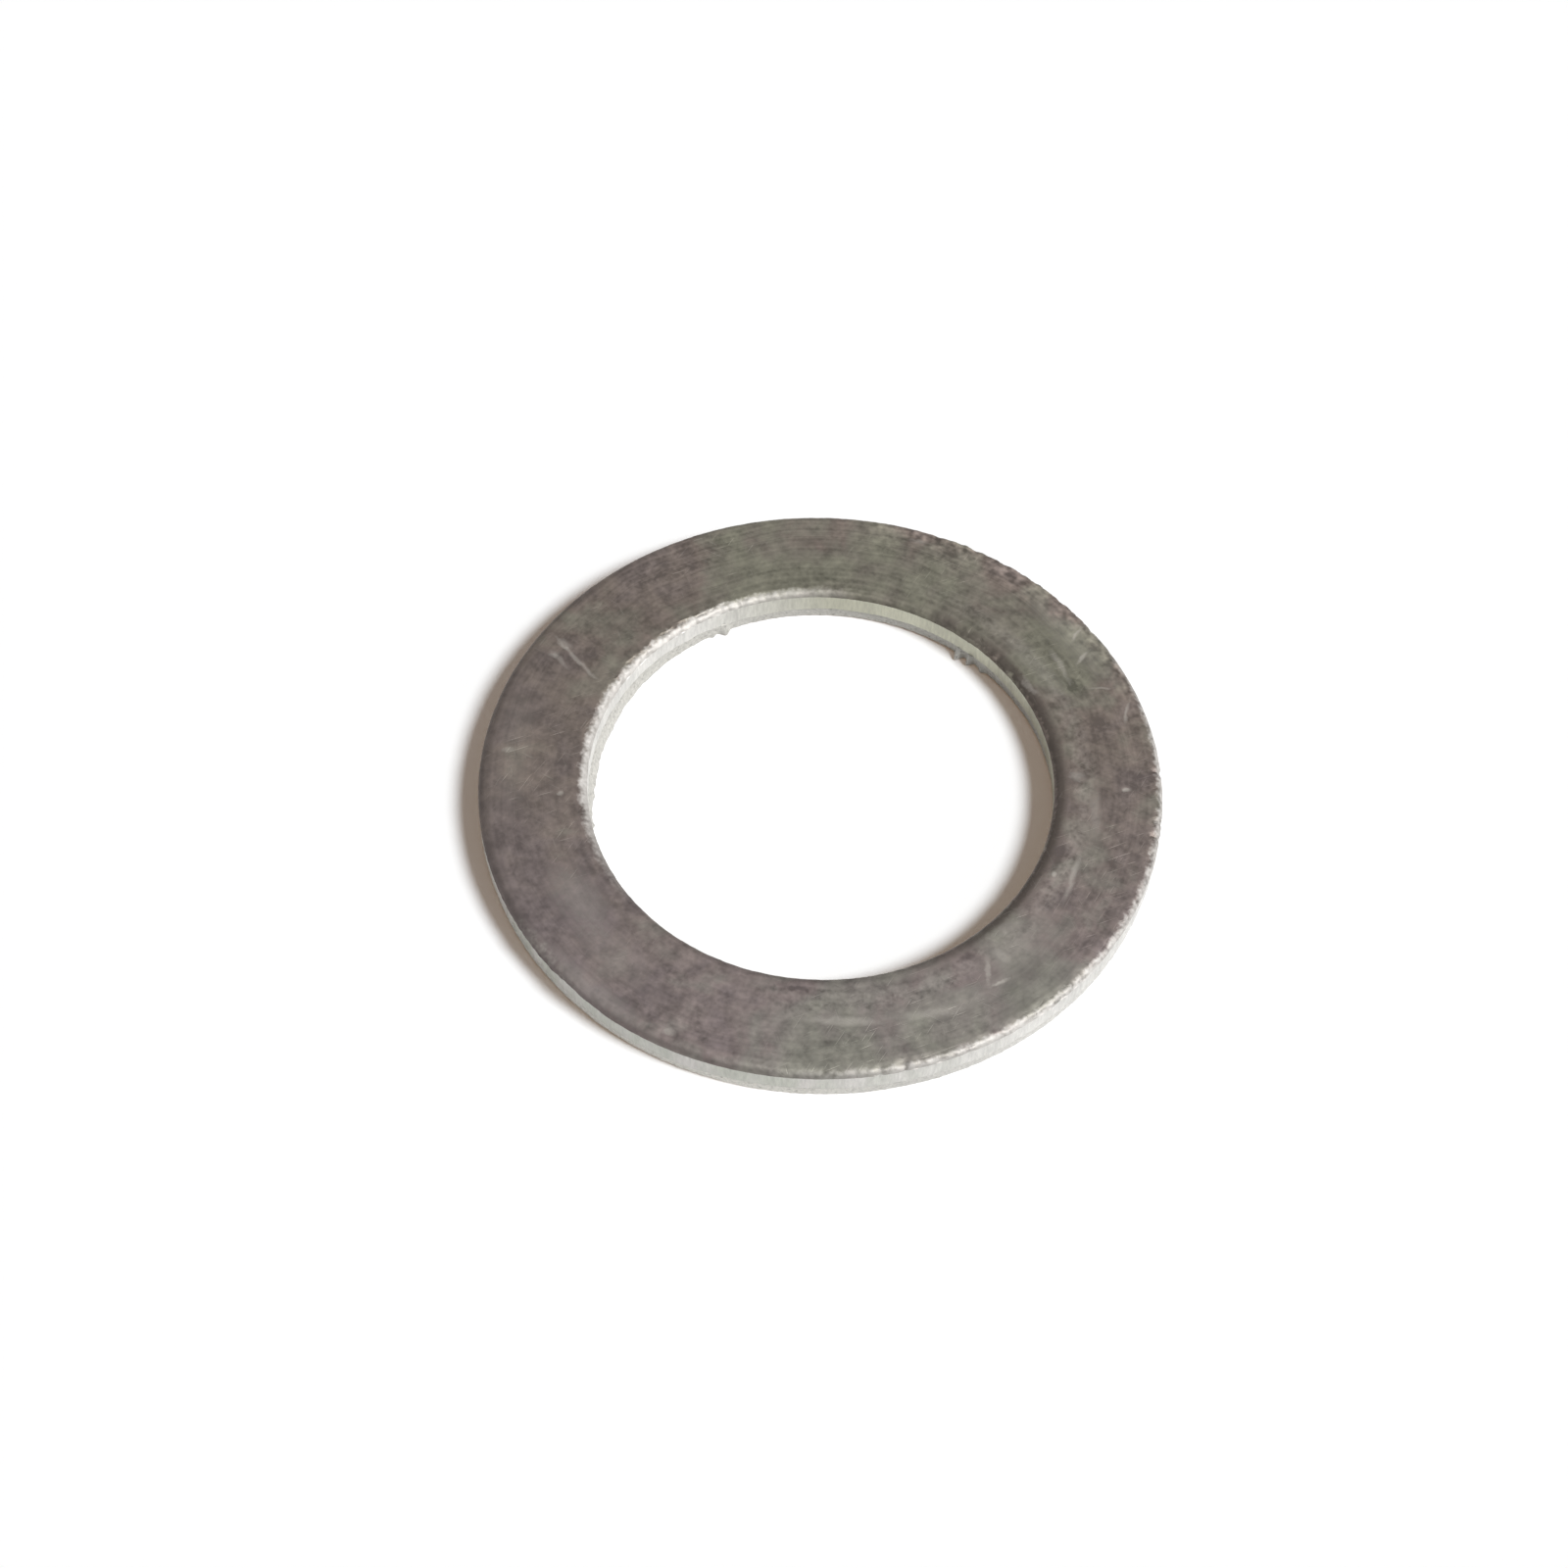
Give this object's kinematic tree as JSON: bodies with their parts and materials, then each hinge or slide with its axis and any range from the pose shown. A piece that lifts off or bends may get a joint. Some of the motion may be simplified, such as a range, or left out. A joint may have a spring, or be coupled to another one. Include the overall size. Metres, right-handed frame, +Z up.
{
  "type": "injector nozzle gasket",
  "caption": "Flat round metal sealing ring with a plain central hole, clamped under an injector nozzle to seal it in its seat.",
  "frame": {"origin": "on the axis of the hole, in the plane of the lower face that the ring rests on", "axes": "+Z up the hole, from the torn lower edges to the rolled-over upper edges; X and Y are any two radii at right angles"},
  "size_m": [0.022, 0.022, 0.0012],
  "materials": {
    "dull_aluminium": "dull rolled and tumbled faces, brighter sheared walls"
  },
  "bodies": {
    "root": {"gasket_ring": "dull_aluminium"}
  },
  "joints": []
}
